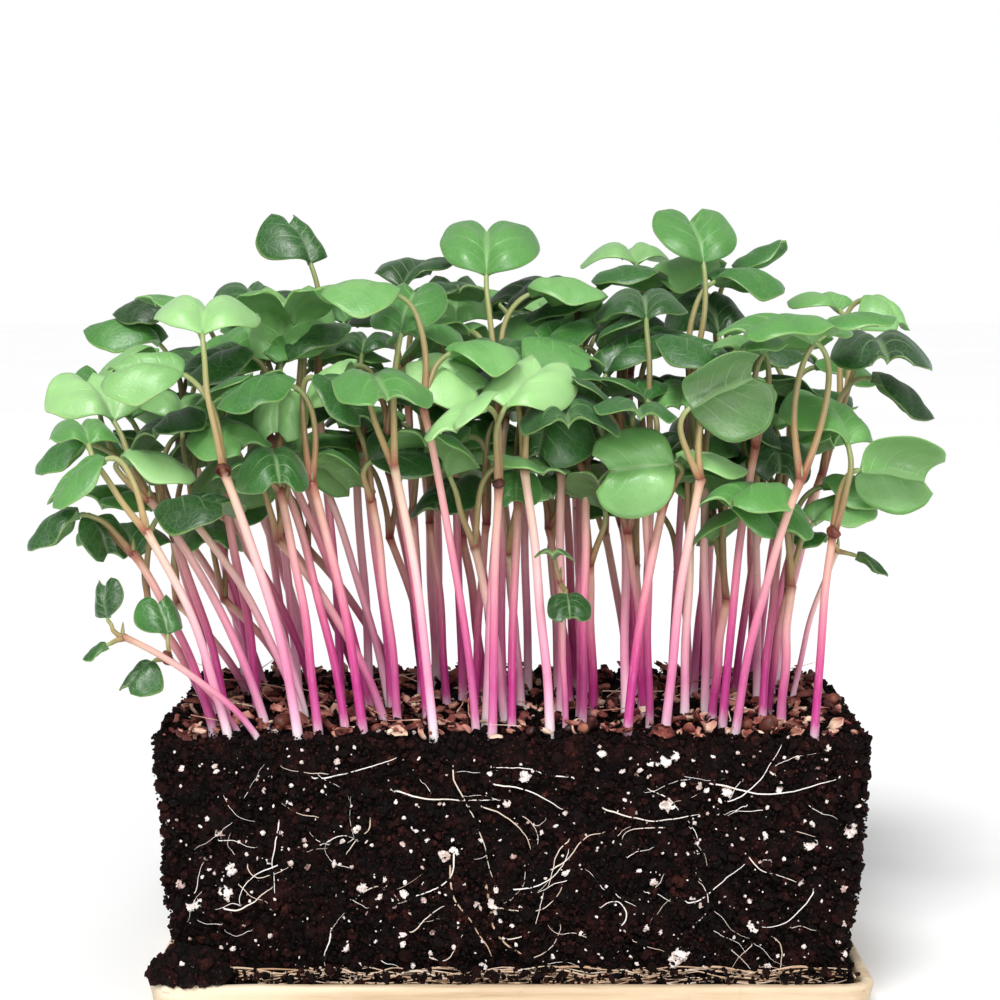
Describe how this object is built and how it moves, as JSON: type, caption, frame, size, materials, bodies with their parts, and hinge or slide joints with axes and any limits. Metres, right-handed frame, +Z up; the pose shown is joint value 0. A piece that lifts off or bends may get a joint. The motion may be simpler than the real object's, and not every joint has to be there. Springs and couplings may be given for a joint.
{
  "type": "tray of radish microgreens",
  "caption": "Radish microgreens: purple-stemmed sprouts with notched green seed leaves, growing in a cut block of potting soil on a shallow wooden tray.",
  "frame": {"origin": "centre of the tray's underside", "axes": "+Z up along the stems, +X along the block's length, +Y from the block's front to its back"},
  "size_m": [0.1439, 0.0817, 0.1245],
  "materials": {
    "tray_wood": "matte",
    "soil": "matte",
    "roots": "matte",
    "seedling": "satin",
    "seed_hull": "satin"
  },
  "bodies": {
    "root": {"late_seedling_1": "seedling", "late_seedling_2": "seedling", "late_seedling_3": "seedling", "late_seedling_4": "seedling", "loose_soil": "soil", "root_mat": "roots", "seed_hull_1": "seed_hull", "seed_hull_2": "seed_hull", "seed_hull_3": "seed_hull", "seed_hull_4": "seed_hull", "seedling_01": "seedling", "seedling_02": "seedling", "seedling_03": "seedling", "seedling_04": "seedling", "seedling_05": "seedling", "seedling_06": "seedling", "seedling_07": "seedling", "seedling_08": "seedling", "seedling_09": "seedling", "seedling_10": "seedling", "seedling_11": "seedling", "seedling_12": "seedling", "seedling_13": "seedling", "seedling_14": "seedling", "seedling_15": "seedling", "seedling_16": "seedling", "seedling_17": "seedling", "seedling_18": "seedling", "seedling_19": "seedling", "seedling_20": "seedling", "seedling_21": "seedling", "seedling_22": "seedling", "seedling_23": "seedling", "seedling_24": "seedling", "seedling_25": "seedling", "seedling_26": "seedling", "seedling_27": "seedling", "seedling_28": "seedling", "seedling_29": "seedling", "seedling_30": "seedling", "seedling_31": "seedling", "seedling_32": "seedling", "seedling_33": "seedling", "seedling_34": "seedling", "seedling_35": "seedling", "seedling_36": "seedling", "seedling_37": "seedling", "seedling_38": "seedling", "seedling_39": "seedling", "seedling_40": "seedling", "seedling_41": "seedling", "seedling_42": "seedling", "seedling_43": "seedling", "seedling_44": "seedling", "seedling_45": "seedling", "seedling_46": "seedling", "seedling_47": "seedling", "soil_block": "soil", "tray": "tray_wood"}
  },
  "joints": []
}
